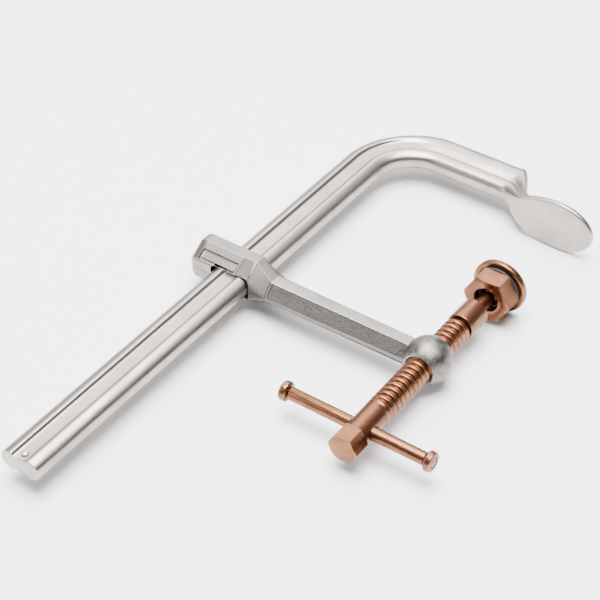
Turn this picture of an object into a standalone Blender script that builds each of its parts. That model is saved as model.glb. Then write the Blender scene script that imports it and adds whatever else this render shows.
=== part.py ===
"""F clamp lying on its side. Metres, +Z up, +Y along the rail towards the fixed jaw, +X from rail to spindle.

The origin is the middle of the fixed jaw's clamping face. The spindle's axis is the world Y axis.
"""

import math

import bmesh
import bpy
from mathutils import Matrix, Vector

MM = 0.001

# rail and fixed jaw
THROAT = 140 * MM
RAIL_WIDTH = 31 * MM
RAIL_HEIGHT = 15.4 * MM
FREE_END_Y = -405 * MM
BEND_RADIUS = 30 * MM
FIXED_ARM_INNER_Y = 10 * MM
FIXED_ARM_END_X = -54 * MM
JAW_WIDTH = 57 * MM
JAW_HEIGHT = 40 * MM
JAW_THICKNESS = 6 * MM
RAIL_END_BEVEL = 1.2 * MM
BEND_STEPS = 14

# stop pin
STOP_PIN_FROM_END = 5.9 * MM
STOP_PIN_RADIUS = 2.5 * MM
STOP_PIN_REACH = 7.5 * MM

# sliding arm
ARM_Y = -175.1 * MM
HEAD_WALL = 21 * MM
HEAD_TOP = 16 * MM
SHOULDER_LENGTH = 14 * MM
BEAM_TOP = 10 * MM
BEAM_DEPTH = 26 * MM
BEAM_DEPTH_AT_BOSS = 20 * MM
BOSS_RADIUS = 17 * MM
WINDOW_CLEARANCE = 0.8 * MM
KEY_WIDTH = 9.2 * MM
KEY_HEIGHT_FROM_MIDDLE = 6.2 * MM
RECESS_LENGTH = 29 * MM
RECESS_DEPTH = 1.2 * MM

# spindle
THREAD_RADIUS = 9.5 * MM
THREAD_DEPTH = 2.4 * MM
THREAD_PITCH = 5 * MM
THREAD_SEGMENTS = 20
THREAD_CLEARANCE = 0.32 * MM
THREAD_START_Y = -238.5 * MM
THREAD_END_Y = -137.1 * MM
BODY_RADIUS = 9.3 * MM
HEX_START_Y = -277.5 * MM
HEX_END_Y = -263.5 * MM
HEX_FLATS = 19.4 * MM
JOURNAL_RADIUS = 5.5 * MM
JOURNAL_END_Y = -127.7 * MM

# sleeve, pin and ball stud
SLEEVE_START_Y = -134.7 * MM
SLEEVE_END_Y = -114.1 * MM
SLEEVE_RADIUS = 10 * MM
ROLL_PIN_Y = -122.9 * MM
ROLL_PIN_RADIUS = 1.5 * MM
ROLL_PIN_DROP = 4.9 * MM
ROLL_PIN_TILT = 14 * math.pi / 180
SHANK_RADIUS = 5.5 * MM
SHANK_START_Y = -127.3 * MM
SHANK_GROOVE_RADIUS = 3.0 * MM
SHANK_GROOVE_WIDTH = 3.8 * MM
NECK_RADIUS = 5.2 * MM
BALL_Y = -91 * MM
BALL_RADIUS = 8 * MM

# swivel pad
LINER_WALL = 1.7 * MM
LINER_OPENING_BACK = 4 * MM
PAD_HEX_START_Y = -100.5 * MM
PAD_HEX_END_Y = -86.5 * MM
PAD_HEX_FLATS = 32 * MM
PAD_HOLE_RADIUS = 9.2 * MM
SPIGOT_RADIUS = 12 * MM
SPIGOT_END_Y = -81.9 * MM
PAD_RING_RADIUS = 17 * MM
FLANGE_START_Y = -83.5 * MM
FLANGE_END_Y = -78.5 * MM
FLANGE_RADIUS = 20.5 * MM

# tommy bar
BAR_Y = -253.9 * MM
BAR_RADIUS = 4.6 * MM
BAR_CENTRE_X = -4.2 * MM
BAR_HALF_LENGTH = 57.8 * MM
CAP_RADIUS = 7 * MM
CAP_LENGTH = 6 * MM
TENON_RADIUS = 3.4 * MM

# fits
STATIC_GAP = 0.3 * MM
RUNNING_GAP = 0.35 * MM

ROUND = 24
STOP_PIN_Y = FREE_END_Y + STOP_PIN_FROM_END
HEAD_OUTER_X = -THROAT - RAIL_WIDTH - HEAD_WALL
SQRT3 = math.sqrt(3)


def clear_scene():
    """Removes whatever the session opened with."""
    for item in list(bpy.data.objects):
        bpy.data.objects.remove(item, do_unlink=True)


def material(name, colour, metallic, roughness):
    """One Principled material."""
    made = bpy.data.materials.new(name)
    made.use_nodes = True
    shader = made.node_tree.nodes["Principled BSDF"]
    shader.inputs["Base Color"].default_value = (*colour, 1)
    shader.inputs["Metallic"].default_value = metallic
    shader.inputs["Roughness"].default_value = roughness
    return made


def new_object(name, mesh_edit):
    """An object from a bmesh, with its normals facing out."""
    bmesh.ops.recalc_face_normals(mesh_edit, faces=mesh_edit.faces)
    mesh = bpy.data.meshes.new(name)
    mesh_edit.to_mesh(mesh)
    mesh_edit.free()
    made = bpy.data.objects.new(name, mesh)
    bpy.context.scene.collection.objects.link(made)
    return made


def loft(name, rings):
    """A closed body through rings of points, capped at both ends."""
    edit = bmesh.new()
    rows = [[edit.verts.new(point) for point in ring] for ring in rings]
    for low, high in zip(rows, rows[1:]):
        for index in range(len(low)):
            after = (index + 1) % len(low)
            edit.faces.new((low[index], low[after], high[after], high[index]))
    edit.faces.new(rows[0])
    edit.faces.new(rows[-1])
    return new_object(name, edit)


def turned(name, profile, segments=ROUND, phase=0.0):
    """A body of revolution about Y through (y, radius) stations. Radius 0 makes a pole."""
    edit = bmesh.new()
    rows = []
    for y, radius in profile:
        if radius == 0:
            rows.append([edit.verts.new((0, y, 0))])
            continue
        angles = [phase + 2 * math.pi * k / segments for k in range(segments)]
        rows.append([edit.verts.new((radius * math.cos(a), y, radius * math.sin(a))) for a in angles])
    for low, high in zip(rows, rows[1:]):
        bridge_rows(edit, low, high, segments)
    if len(rows[0]) > 1:
        edit.faces.new(rows[0])
    if len(rows[-1]) > 1:
        edit.faces.new(rows[-1])
    return new_object(name, edit)


def bridge_rows(edit, low, high, segments):
    """Quads between two rings, or triangles to a pole."""
    for k in range(segments):
        after = (k + 1) % segments
        if len(low) == 1:
            edit.faces.new((low[0], high[k], high[after]))
        elif len(high) == 1:
            edit.faces.new((low[k], low[after], high[0]))
        else:
            edit.faces.new((low[k], low[after], high[after], high[k]))


def bore_tool(start, end, radius, segments):
    """A plain cylinder about Y, for drilling."""
    return turned("bore", [(start, radius), (end, radius)], segments)


def sphere_stations(centre, radius, start, end, steps):
    """(y, radius) stations on a sphere, between two distances from its centre along Y."""
    first = math.acos(max(-1, min(1, start / radius)))
    last = math.acos(max(-1, min(1, end / radius)))
    stations = []
    for k in range(steps + 1):
        angle = first + (last - first) * k / steps
        ring = radius * math.sin(angle)
        stations.append((centre + radius * math.cos(angle), ring if ring > 1e-6 else 0))
    return stations


def block(name, low, high):
    """A box between two corners."""
    edit = bmesh.new()
    bmesh.ops.create_cube(edit, size=1)
    for vert in edit.verts:
        vert.co = Vector([(low[i] + high[i]) / 2 + vert.co[i] * (high[i] - low[i]) for i in range(3)])
    return new_object(name, edit)


def moved(item, offset):
    """Shifts an object's mesh."""
    for vert in item.data.vertices:
        vert.co += Vector(offset)
    item.data.update()
    return item


def laid_along_x(item):
    """Turns a body made about Y so that it lies about X."""
    for vert in item.data.vertices:
        vert.co = Vector((vert.co.y, -vert.co.x, vert.co.z))
    item.data.update()
    return item


def laid_along_z(item):
    """Turns a body made about Y so that it stands about Z."""
    for vert in item.data.vertices:
        vert.co = Vector((vert.co.x, -vert.co.z, vert.co.y))
    item.data.update()
    return item


def tilted(item, angle):
    """Turns a body about the screw's axis."""
    turn = Matrix.Rotation(angle, 3, "Y")
    for vert in item.data.vertices:
        vert.co = turn @ vert.co
    item.data.update()
    return item


def combine(target, tool, operation):
    """Applies one boolean and removes the tool."""
    step = target.modifiers.new(operation, "BOOLEAN")
    step.operation = operation
    step.solver = "EXACT"
    step.object = tool
    bpy.context.view_layer.update()
    graph = bpy.context.evaluated_depsgraph_get()
    mesh = bpy.data.meshes.new_from_object(target.evaluated_get(graph))
    target.modifiers.clear()
    target.data = mesh
    bpy.data.objects.remove(tool, do_unlink=True)
    return target


def place_origin(item, point):
    """Puts the object's origin on its joint's axis."""
    item.location = point
    for vert in item.data.vertices:
        vert.co -= Vector(point)
    item.data.update()


def finish(item, name, paint, origin):
    """Names a finished piece and gives it its material and origin."""
    item.name = name
    item.data.name = name
    item.data.materials.clear()
    item.data.materials.append(paint)
    place_origin(item, origin)
    return item


def grooved_shape():
    """Half of the rail's section, as shares of its half width and half height."""
    return [
        (-1.0, 0.26),
        (-0.86, 0.72),
        (-0.63, 0.97),
        (-0.44, 0.96),
        (-0.36, 0.72),
        (0.36, 0.72),
        (0.44, 0.96),
        (0.63, 0.97),
        (0.86, 0.72),
        (1.0, 0.26),
    ]


def plate_shape():
    """Half of the jaw's section: flat in front, with a rounded rim and a domed back."""
    return [
        (-1.0, 0.45),
        (-0.88, 0.76),
        (-0.62, 0.92),
        (-0.32, 0.98),
        (-0.05, 1.0),
        (0.2, 1.0),
        (0.45, 0.995),
        (0.7, 0.98),
        (0.88, 0.955),
        (1.0, 0.91),
    ]


def full_shape(share):
    """The whole section, blended from rail (0) to plate (1)."""
    upper = []
    for rail, plate in zip(grooved_shape(), plate_shape()):
        u = rail[0] + (plate[0] - rail[0]) * share
        z = rail[1] + (plate[1] - rail[1]) * share
        upper.append((u, z))
    return upper + [(u, -z) for u, z in reversed(upper)]


def rail_ring(centre, inward, half_width, half_height, share):
    """One section of the rail: u runs along the inward direction."""
    ring = []
    for u, z in full_shape(share):
        spot = centre + inward * (u * half_width)
        ring.append((spot.x, spot.y, z * half_height))
    return ring


def straight_rings():
    """The rail's straight length, with a small bevel at its free end."""
    centre_x = -THROAT - RAIL_WIDTH / 2
    inward = Vector((1, 0, 0))
    half = RAIL_WIDTH / 2
    tall = RAIL_HEIGHT / 2
    small = RAIL_END_BEVEL
    first = Vector((centre_x, FREE_END_Y, 0))
    second = Vector((centre_x, FREE_END_Y + small, 0))
    return [
        rail_ring(first, inward, half - small, tall - small, 0),
        rail_ring(second, inward, half, tall, 0),
    ]


def bend_rings():
    """The quarter bend from the rail into the fixed arm."""
    middle = Vector((-THROAT + BEND_RADIUS, FIXED_ARM_INNER_Y - BEND_RADIUS, 0))
    reach = BEND_RADIUS + RAIL_WIDTH / 2
    rings = []
    for k in range(BEND_STEPS + 1):
        angle = math.pi / 2 * k / BEND_STEPS
        outward = Vector((-math.cos(angle), math.sin(angle), 0))
        rings.append(rail_ring(middle + outward * reach, -outward, RAIL_WIDTH / 2, RAIL_HEIGHT / 2, 0))
    return rings


def arm_ring(x, low_y, high_y, half_height, share):
    """One section of the fixed arm, its neck or its jaw."""
    centre = Vector((x, (low_y + high_y) / 2, 0))
    return rail_ring(centre, Vector((0, -1, 0)), (high_y - low_y) / 2, half_height, share)


def eased(value, start, end):
    """0 at start and 1 at end, with level ends."""
    share = min(1, max(0, (value - start) / (end - start)))
    return share * share * (3 - 2 * share)


def jaw_half_height(x):
    """Half the height of the neck and jaw: spread towards the middle, then rounded off at the tip."""
    tall = JAW_HEIGHT / 2
    if x > 0:
        return tall * math.sqrt(1 - (x / (JAW_WIDTH / 2)) ** 2)
    spread = 0.5 + 0.5 * math.cos(math.pi * x / FIXED_ARM_END_X)
    return RAIL_HEIGHT / 2 + (tall - RAIL_HEIGHT / 2) * spread


def jaw_rings():
    """The fixed arm's end, spread and thinned into the oval jaw. Its clamping face is the plane y = 0."""
    start = FIXED_ARM_END_X
    face_start = -JAW_WIDTH / 2
    tip = JAW_WIDTH / 2 - 0.6 * MM
    outer = FIXED_ARM_INNER_Y + RAIL_WIDTH
    rings = []
    for k in range(11):
        x = start + (face_start + 1.5 * MM - start) * k / 10
        low_y = FIXED_ARM_INNER_Y * (1 - eased(x, start, face_start))
        high_y = outer + (JAW_THICKNESS + 1.5 * MM - outer) * eased(x, start + 4 * MM, face_start + 2.5 * MM)
        rings.append(arm_ring(x, low_y, high_y, jaw_half_height(x), eased(x, start, face_start)))
    for k in range(9):
        angle = math.pi / 2 * (k / 8)
        x = tip * math.sin(angle) if k > 2 else face_start + (8 + 9 * k) * MM
        thick = JAW_THICKNESS - 1.5 * MM * x / tip
        rings.append(arm_ring(x, 0, thick, jaw_half_height(x), 1))
    return rings


def make_rail(paint):
    """The rail, its bend, the fixed arm and its oval jaw: one forged bar."""
    rings = straight_rings() + bend_rings() + jaw_rings()
    rail = loft("rail_with_fixed_jaw", rings)
    hole = laid_along_z(bore_tool(-20 * MM, 20 * MM, STOP_PIN_RADIUS + STATIC_GAP, 20))
    moved(hole, (-THROAT - RAIL_WIDTH / 2, STOP_PIN_Y, 0))
    combine(rail, hole, "DIFFERENCE")
    return finish(rail, "rail_with_fixed_jaw", paint, (0, 0, 0))


def make_stop_pin(paint):
    """The pin that keeps the sliding arm on the rail."""
    reach = STOP_PIN_REACH
    top = STOP_PIN_RADIUS
    bevel = 0.5 * MM
    profile = [(-reach, top - bevel), (-reach + bevel, top), (reach - bevel, top), (reach, top - bevel)]
    pin = laid_along_z(turned("stop_pin", profile, 20))
    moved(pin, (-THROAT - RAIL_WIDTH / 2, STOP_PIN_Y, 0))
    return finish(pin, "stop_pin", paint, (-THROAT - RAIL_WIDTH / 2, STOP_PIN_Y, 0))


def forging_ring(x, front, band_front, band_back, back, shoulder, top):
    """One section of the sliding arm, the same above and below its parting plane."""
    upper = [(front, shoulder), (band_front, top), (band_back, top), (back, shoulder)]
    lower = [(y, -z) for y, z in reversed(upper)]
    return [(x, ARM_Y + y, z) for y, z in upper + lower]


def head_rings():
    """The head that runs round the rail."""
    edge = HEAD_OUTER_X
    front = -BEAM_DEPTH / 2
    back = BEAM_DEPTH / 2
    band = 9 * MM
    high = HEAD_TOP
    low_top = high - 3.5 * MM
    return [
        forging_ring(edge, front + 5 * MM, 2 * MM, band - 2 * MM, back - 5 * MM, 3 * MM, high - 7 * MM),
        forging_ring(edge + 2 * MM, front + 2 * MM, 1 * MM, band - 1 * MM, back - 2 * MM, 6 * MM, low_top),
        forging_ring(edge + 6 * MM, front, 0.5 * MM, band, back, 8 * MM, high),
        forging_ring(-THROAT, front, 0.5 * MM, band, back, 8 * MM, high),
    ]


def beam_rings():
    """The beam that tapers from the head to the boss."""
    deep = BEAM_DEPTH / 2
    slim = BEAM_DEPTH_AT_BOSS / 2
    top = BEAM_TOP
    start = -THROAT + SHOULDER_LENGTH
    return [
        forging_ring(start, -deep, -4.8 * MM, 4 * MM, deep, 0.6 * MM, top),
        forging_ring(-6 * MM, -slim, -4.2 * MM, 4 * MM, slim, 0.6 * MM, top),
    ]


def thread_body(name, radius, depth, widen, start, end):
    """A right-hand trapezoidal thread about Y, cut flat at both ends."""
    edit = bmesh.new()
    count = THREAD_SEGMENTS
    pitch = THREAD_PITCH
    core = radius - depth
    crest = 0.17 * pitch + widen
    foot = 0.33 * pitch + widen
    marks = [(-foot, core), (-crest, radius), (crest, radius), (foot, core)]
    turns = int((end - start) / pitch) + 4
    base = math.floor(start / pitch) * pitch - 2 * pitch
    columns = []
    for k in range(count):
        angle = 2 * math.pi * k / count
        shift = pitch * k / count
        column = []
        for turn in range(turns + 2):
            for mark, ring in marks:
                y = base + turn * pitch + shift + mark
                column.append(edit.verts.new((ring * math.sin(angle), y, ring * math.cos(angle))))
        columns.append(column)
    join_columns(edit, columns, len(marks))
    trim(edit, start, (0, -1, 0))
    trim(edit, end, (0, 1, 0))
    return new_object(name, edit)


def join_columns(edit, columns, step):
    """Joins a thread's columns; the last meets the first one turn on."""
    last = len(columns) - 1
    for k, column in enumerate(columns):
        other = columns[k + 1] if k < last else columns[0]
        shift = 0 if k < last else step
        for row in range(len(column) - 1):
            if row + 1 + shift >= len(other):
                break
            edit.faces.new((column[row], column[row + 1], other[row + 1 + shift], other[row + shift]))


def trim(edit, y, normal):
    """Cuts a thread with a plane across Y and closes the cut."""
    geometry = edit.verts[:] + edit.edges[:] + edit.faces[:]
    cut = bmesh.ops.bisect_plane(
        edit,
        geom=geometry,
        dist=1e-7,
        plane_co=(0, y, 0),
        plane_no=normal,
        clear_outer=True,
    )
    edges = [item for item in cut["geom_cut"] if isinstance(item, bmesh.types.BMEdge)]
    bmesh.ops.contextual_create(edit, geom=edges)


def make_arm(paint):
    """The sliding arm: head with its window, beam and threaded boss, one forging."""
    arm = loft("sliding_arm", head_rings() + beam_rings())
    flat = math.sqrt(BOSS_RADIUS**2 - (THREAD_RADIUS + 1 * MM) ** 2)
    stations = sphere_stations(ARM_Y, BOSS_RADIUS, -flat, flat, 12)
    combine(arm, turned("ball", stations, ROUND), "UNION")
    wide = WINDOW_CLEARANCE
    low = (-THROAT - RAIL_WIDTH - wide, ARM_Y - 30 * MM, -RAIL_HEIGHT / 2 - wide)
    high = (-THROAT + wide, ARM_Y + 30 * MM, RAIL_HEIGHT / 2 + wide)
    combine(arm, block("window", low, high), "DIFFERENCE")
    for side in (1, -1):
        combine(arm, key_block(side), "UNION")
    cutter = thread_body(
        "tap",
        THREAD_RADIUS + THREAD_CLEARANCE,
        THREAD_DEPTH,
        THREAD_CLEARANCE / 2,
        ARM_Y - 20 * MM,
        ARM_Y + 20 * MM,
    )
    combine(arm, cutter, "DIFFERENCE")
    for side in (1, -1):
        combine(arm, recess_tool(side), "DIFFERENCE")
    return finish(arm, "sliding_arm", paint, (0, ARM_Y, 0))


def key_block(side):
    """One of the two keys that run in the rail's grooves and meet the stop pin."""
    middle = -THROAT - RAIL_WIDTH / 2
    half_run = BEAM_DEPTH / 2 - 3 * MM
    bottom = KEY_HEIGHT_FROM_MIDDLE
    top = RAIL_HEIGHT / 2 + WINDOW_CLEARANCE + 1 * MM
    heights = (bottom, top) if side > 0 else (-top, -bottom)
    low = (middle - KEY_WIDTH / 2, ARM_Y - half_run, heights[0])
    high = (middle + KEY_WIDTH / 2, ARM_Y + half_run, heights[1])
    return block("key", low, high)


def recess_tool(side):
    """The long recess in the head's sloping front, above and below the rail."""
    half_run = RECESS_LENGTH / 2
    tool = block("recess", (-half_run, -2.6 * MM, -RECESS_DEPTH), (half_run, 2.6 * MM, 4 * MM))
    front = -BEAM_DEPTH / 2
    run = 0.5 * MM - front
    rise = HEAD_TOP - 8 * MM
    along = Vector((0, run, rise)).normalized()
    out = Vector((0, -rise, run)).normalized()
    middle = Vector((HEAD_OUTER_X + 25 * MM, ARM_Y + front + run * 0.52, 8 * MM + rise * 0.52))
    for vert in tool.data.vertices:
        spot = middle + Vector((vert.co.x, 0, 0)) + along * vert.co.y + out * vert.co.z
        vert.co = Vector((spot.x, spot.y, spot.z * side))
    if side < 0:
        tool.data.flip_normals()
    tool.data.update()
    return tool


def hexagon(name, flats, start, end, bevel, outer_bevel_start):
    """A hexagonal prism about Y, its corners on X, with turned bevels."""
    corner = flats / SQRT3
    prism = turned(name, [(start, corner), (end, corner)], 6, 0)
    inner = corner - bevel
    steep = 2.2 * MM
    if outer_bevel_start:
        wide = corner + 1.2 * MM
        profile = [(start - 1 * MM, inner - 1.2 * MM), (start + steep, wide), (end + 1 * MM, wide)]
    else:
        wide = corner + 1 * MM
        profile = [(start - 1 * MM, wide), (end - steep, wide), (end + 1 * MM, inner - 1 * MM)]
    combine(prism, turned("turning", profile, ROUND), "INTERSECT")
    return prism


def make_spindle(paint):
    """The screw: hexagon, plain body with its cross hole, thread and journal."""
    spindle = thread_body("spindle", THREAD_RADIUS, THREAD_DEPTH, 0, THREAD_START_Y - 0.6 * MM, THREAD_END_Y)
    body = [
        (HEX_END_Y - 1 * MM, BODY_RADIUS),
        (THREAD_START_Y - 1 * MM, BODY_RADIUS),
        (THREAD_START_Y, BODY_RADIUS - 1 * MM),
    ]
    combine(spindle, turned("body", body, ROUND), "UNION")
    relief = THREAD_RADIUS - THREAD_DEPTH - 0.4 * MM
    journal = [
        (THREAD_END_Y - 1 * MM, relief),
        (SLEEVE_START_Y - STATIC_GAP, relief),
        (SLEEVE_START_Y - STATIC_GAP, JOURNAL_RADIUS),
        (JOURNAL_END_Y, JOURNAL_RADIUS),
    ]
    combine(spindle, turned("journal", journal, ROUND), "UNION")
    combine(spindle, hexagon("hex", HEX_FLATS, HEX_START_Y, HEX_END_Y, 0.9 * MM, True), "UNION")
    hole = laid_along_x(bore_tool(-20 * MM, 20 * MM, BAR_RADIUS + 0.4 * MM, ROUND))
    combine(spindle, moved(hole, (0, BAR_Y, 0)), "DIFFERENCE")
    return finish(spindle, "spindle", paint, (0, ARM_Y, 0))


def make_sleeve(paint):
    """The sleeve on the screw's nose, cross-drilled for its pin."""
    bevel = 0.7 * MM
    profile = [
        (SLEEVE_START_Y, SLEEVE_RADIUS - bevel),
        (SLEEVE_START_Y + bevel, SLEEVE_RADIUS),
        (SLEEVE_END_Y - bevel, SLEEVE_RADIUS),
        (SLEEVE_END_Y, SLEEVE_RADIUS - bevel),
    ]
    sleeve = turned("spindle_sleeve", profile, ROUND)
    bore = bore_tool(SLEEVE_START_Y - 5 * MM, SLEEVE_END_Y + 5 * MM, SHANK_RADIUS + RUNNING_GAP, ROUND)
    combine(sleeve, bore, "DIFFERENCE")
    drill = laid_along_x(bore_tool(-20 * MM, 20 * MM, ROLL_PIN_RADIUS + STATIC_GAP, 16))
    moved(drill, (0, ROLL_PIN_Y, -ROLL_PIN_DROP))
    combine(sleeve, tilted(drill, -ROLL_PIN_TILT), "DIFFERENCE")
    return finish(sleeve, "spindle_sleeve", paint, (0, ARM_Y, 0))


def make_roll_pin(paint):
    """The rolled spring pin that runs in the stud's groove."""
    reach = math.sqrt(SLEEVE_RADIUS**2 - (ROLL_PIN_DROP + ROLL_PIN_RADIUS) ** 2) - 0.3 * MM
    bevel = 0.3 * MM
    radius = ROLL_PIN_RADIUS
    small = radius - bevel
    profile = [(-reach, small), (-reach + bevel, radius), (reach - bevel, radius), (reach, small)]
    pin = laid_along_x(turned("roll_pin", profile, 16))
    bore = laid_along_x(bore_tool(-30 * MM, 30 * MM, 0.6 * MM, 12))
    combine(pin, bore, "DIFFERENCE")
    moved(pin, (0, ROLL_PIN_Y, -ROLL_PIN_DROP))
    tilted(pin, -ROLL_PIN_TILT)
    return finish(pin, "roll_pin", paint, (0, ROLL_PIN_Y, 0))


def make_ball_stud(paint):
    """The stud: shank with its pin groove, neck and ball."""
    low = ROLL_PIN_Y - SHANK_GROOVE_WIDTH / 2
    high = ROLL_PIN_Y + SHANK_GROOVE_WIDTH / 2
    join = math.sqrt(BALL_RADIUS**2 - NECK_RADIUS**2)
    profile = [
        (SHANK_START_Y, SHANK_RADIUS - 0.5 * MM),
        (SHANK_START_Y + 0.5 * MM, SHANK_RADIUS),
        (low, SHANK_RADIUS),
        (low, SHANK_GROOVE_RADIUS),
        (high, SHANK_GROOVE_RADIUS),
        (high, SHANK_RADIUS),
        (SLEEVE_END_Y, SHANK_RADIUS),
        (SLEEVE_END_Y + 1 * MM, NECK_RADIUS),
    ]
    profile += sphere_stations(BALL_Y, BALL_RADIUS, -join, BALL_RADIUS, 10)
    return finish(turned("ball_stud", profile, ROUND), "ball_stud", paint, (0, BALL_Y, 0))


def make_liner(paint):
    """The socket liner: a cup round the ball, open to the back."""
    inner = BALL_RADIUS + RUNNING_GAP
    outer = inner + LINER_WALL
    back = -LINER_OPENING_BACK
    profile = sphere_stations(BALL_Y, outer, back, outer, 10)
    cup = turned("socket_liner", profile, ROUND)
    hollow = [(BALL_Y - outer, inner * 0.86)] + sphere_stations(BALL_Y, inner, back, inner, 10)
    combine(cup, turned("hollow", hollow, ROUND), "DIFFERENCE")
    return finish(cup, "socket_liner", paint, (0, BALL_Y, 0))


def pocket_tool():
    """The round pocket for the liner, with the hole that the neck passes through."""
    radius = BALL_RADIUS + LINER_WALL + 2 * RUNNING_GAP
    join = math.sqrt(radius**2 - PAD_HOLE_RADIUS**2)
    profile = [
        (PAD_HEX_START_Y - 2 * MM, PAD_HOLE_RADIUS + 2 * MM),
        (PAD_HEX_START_Y + 0.6 * MM, PAD_HOLE_RADIUS),
    ]
    profile += sphere_stations(BALL_Y, radius, -join, radius, 12)
    return turned("pocket", profile, ROUND)


def make_pad_body(paint):
    """The hexagonal half of the swivel pad, with the pocket and a spigot in front."""
    body = hexagon("pad_body", PAD_HEX_FLATS, PAD_HEX_START_Y, PAD_HEX_END_Y, 1.1 * MM, True)
    spigot = turned("spigot", [(PAD_HEX_END_Y - 3 * MM, SPIGOT_RADIUS), (SPIGOT_END_Y, SPIGOT_RADIUS)], ROUND)
    combine(body, spigot, "UNION")
    combine(body, pocket_tool(), "DIFFERENCE")
    return finish(body, "pad_body", paint, (0, BALL_Y, 0))


def make_pad_ring(paint):
    """The dark ring held between the two halves of the pad."""
    low = PAD_HEX_END_Y + STATIC_GAP
    high = FLANGE_START_Y - STATIC_GAP
    bulge = PAD_RING_RADIUS
    bevel = 0.8 * MM
    profile = [(low, bulge - bevel), (low + bevel, bulge), (high - bevel, bulge), (high, bulge - bevel)]
    ring = turned("pad_ring", profile, ROUND)
    bore = bore_tool(low - 3 * MM, high + 3 * MM, SPIGOT_RADIUS + STATIC_GAP, ROUND)
    combine(ring, bore, "DIFFERENCE")
    return finish(ring, "pad_ring", paint, (0, BALL_Y, 0))


def make_pad_face(paint):
    """The round plate that presses on the work."""
    edge = 1.2 * MM
    profile = [
        (FLANGE_START_Y, FLANGE_RADIUS - edge),
        (FLANGE_START_Y + edge, FLANGE_RADIUS),
        (FLANGE_END_Y - edge, FLANGE_RADIUS),
        (FLANGE_END_Y, FLANGE_RADIUS - edge),
    ]
    face = turned("pad_face", profile, 36)
    seat = SPIGOT_RADIUS + STATIC_GAP
    combine(face, bore_tool(FLANGE_START_Y - 2 * MM, SPIGOT_END_Y + STATIC_GAP, seat, ROUND), "DIFFERENCE")
    radius = BALL_RADIUS + LINER_WALL + 2 * RUNNING_GAP
    dish = sphere_stations(BALL_Y, radius, 0, radius, 10)
    combine(face, turned("dish", dish, ROUND), "DIFFERENCE")
    return finish(face, "pad_face", paint, (0, BALL_Y, 0))


def make_tommy_bar(paint):
    """The bar through the screw, with a stepped tenon at each end."""
    end = BAR_HALF_LENGTH
    step = end - CAP_LENGTH
    profile = [
        (-end, TENON_RADIUS),
        (-step - STATIC_GAP, TENON_RADIUS),
        (-step - STATIC_GAP, BAR_RADIUS),
        (step + STATIC_GAP, BAR_RADIUS),
        (step + STATIC_GAP, TENON_RADIUS),
        (end, TENON_RADIUS),
    ]
    bar = laid_along_x(turned("tommy_bar", profile, 24))
    moved(bar, (BAR_CENTRE_X, BAR_Y, 0))
    return finish(bar, "tommy_bar", paint, (0, BAR_Y, 0))


def make_cap(name, side, paint):
    """One end cap, riveted on the bar's tenon."""
    inner = BAR_HALF_LENGTH - CAP_LENGTH + 2 * STATIC_GAP
    outer = BAR_HALF_LENGTH
    bevel = 0.8 * MM
    small = CAP_RADIUS - bevel
    profile = [(inner, small), (inner + bevel, CAP_RADIUS), (outer - bevel, CAP_RADIUS), (outer, small)]
    cap = turned(name, profile, 24)
    bore = bore_tool(inner - 3 * MM, outer + 3 * MM, TENON_RADIUS + STATIC_GAP, ROUND)
    combine(cap, bore, "DIFFERENCE")
    laid_along_x(cap)
    if side < 0:
        for vert in cap.data.vertices:
            vert.co.x = -vert.co.x
        cap.data.flip_normals()
    moved(cap, (BAR_CENTRE_X, BAR_Y, 0))
    return finish(cap, name, paint, (0, BAR_Y, 0))


def build():
    """Makes every piece."""
    clear_scene()
    plated = material("plated_steel", (0.72, 0.69, 0.66), 1, 0.32)
    forged = material("forged_steel", (0.5, 0.48, 0.46), 1, 0.45)
    pin_steel = material("pin_steel", (0.6, 0.58, 0.56), 1, 0.35)
    copper = material("coppered_steel", (0.62, 0.33, 0.2), 1, 0.35)
    bar_copper = material("coppered_bar", (0.6, 0.32, 0.2), 1, 0.35)
    cap_copper = material("coppered_cap", (0.6, 0.31, 0.19), 1, 0.38)
    sleeve_copper = material("coppered_sleeve", (0.62, 0.34, 0.21), 1, 0.33)
    pad_copper = material("coppered_pad", (0.58, 0.3, 0.18), 1, 0.36)
    face_copper = material("coppered_pad_face", (0.58, 0.31, 0.19), 1, 0.36)
    stud_copper = material("coppered_stud", (0.55, 0.3, 0.19), 1, 0.36)
    dark_pin = material("dark_spring_steel", (0.05, 0.05, 0.05), 1, 0.4)
    rubber = material("black_rubber", (0.015, 0.015, 0.015), 0, 0.6)
    liner = material("black_plastic", (0.02, 0.02, 0.02), 0, 0.45)
    make_rail(plated)
    make_stop_pin(pin_steel)
    make_arm(forged)
    make_spindle(copper)
    make_sleeve(sleeve_copper)
    make_roll_pin(dark_pin)
    make_ball_stud(stud_copper)
    make_liner(liner)
    make_pad_body(pad_copper)
    make_pad_ring(rubber)
    make_pad_face(face_copper)
    make_tommy_bar(bar_copper)
    make_cap("tommy_bar_cap_left", -1, cap_copper)
    make_cap("tommy_bar_cap_right", 1, cap_copper)


build()
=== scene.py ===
"""Looks of an all-steel F clamp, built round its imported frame."""

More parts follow.
